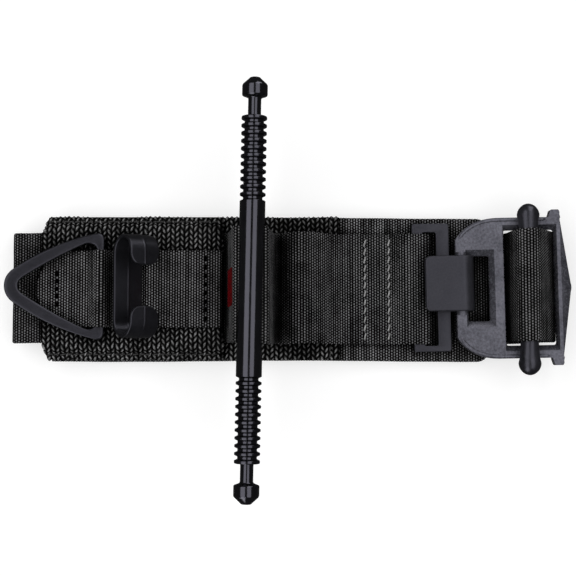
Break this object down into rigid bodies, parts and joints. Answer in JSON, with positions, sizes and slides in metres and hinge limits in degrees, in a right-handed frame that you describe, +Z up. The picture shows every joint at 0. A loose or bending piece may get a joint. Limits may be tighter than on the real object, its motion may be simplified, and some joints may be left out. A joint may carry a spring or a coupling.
{
  "type": "windlass tourniquet",
  "caption": "Black windlass tourniquet folded flat: webbing strap on a padded base, turning rod, triangular ring, open rod clip, hook plate and sliding-bar buckle.",
  "frame": {"origin": "on the resting plane, on the webbing's centre line, under the axis that the windlass twists about", "axes": "+X along the webbing towards the buckle, +Y across the webbing, +Z up from the resting plane"},
  "size_m": [0.1893, 0.1354, 0.0395],
  "materials": {
    "fine_webbing": "close ribbed black nylon webbing",
    "coarse_webbing": "open chevron-woven black webbing",
    "thread": "dark grey bonded sewing thread",
    "red_cloth": "plain red woven tab",
    "black_alloy": "gloss black anodised",
    "black_steel": "matte grey-black coating",
    "black_plastic": "moulded black nylon, satin"
  },
  "bodies": {
    "root": {"hook_strap": "fine_webbing", "running_strap": "fine_webbing", "free_end_strap": "fine_webbing", "base_pad": "fine_webbing", "backing_webbing": "coarse_webbing", "sleeve_webbing": "coarse_webbing", "keeper_strap": "fine_webbing", "hook_plate": "black_steel", "fold_stitch_left": "thread", "fold_stitch_right": "thread", "keeper_stitch_left": "thread", "keeper_stitch_right": "thread", "backing_end_stitch": "thread", "sleeve_seam_upper": "thread", "sleeve_seam_lower": "thread", "red_tab": "red_cloth"},
    "windlass": {"windlass_rod": "black_alloy", "windlass_strap_loop": "fine_webbing"},
    "ring": {"tri_ring": "black_plastic"},
    "clip": {"windlass_clip": "black_plastic"},
    "buckle": {"buckle_frame": "black_steel"},
    "slider": {"slider_bar": "black_steel", "buckle_strap_wrap": "fine_webbing"}
  },
  "joints": [
    {"name": "windlass_twist", "type": "hinge", "parent": "root", "child": "windlass", "pos_m": [0, 0, 0.0354], "axis": [0, 0, 1], "range_deg": [0, 450]},
    {"name": "ring_flip", "type": "hinge", "parent": "root", "child": "ring", "pos_m": [-0.0509, 0, 0.01345], "axis": [0, -1, 0], "range_deg": [-100, 0]},
    {"name": "clip_rock", "type": "hinge", "parent": "root", "child": "clip", "pos_m": [-0.0395, 0, 0.0127], "axis": [0, -1, 0], "range_deg": [-10, 33]},
    {"name": "buckle_pivot", "type": "hinge", "parent": "root", "child": "buckle", "pos_m": [0.0702, 0, 0.01195], "axis": [0.0192, -0.9998, 0], "range_deg": [0, 60]},
    {"name": "slider_travel", "type": "slide", "parent": "buckle", "child": "slider", "axis": [1, 0, 0], "range_m": [-0.0018, 0.0015]}
  ]
}
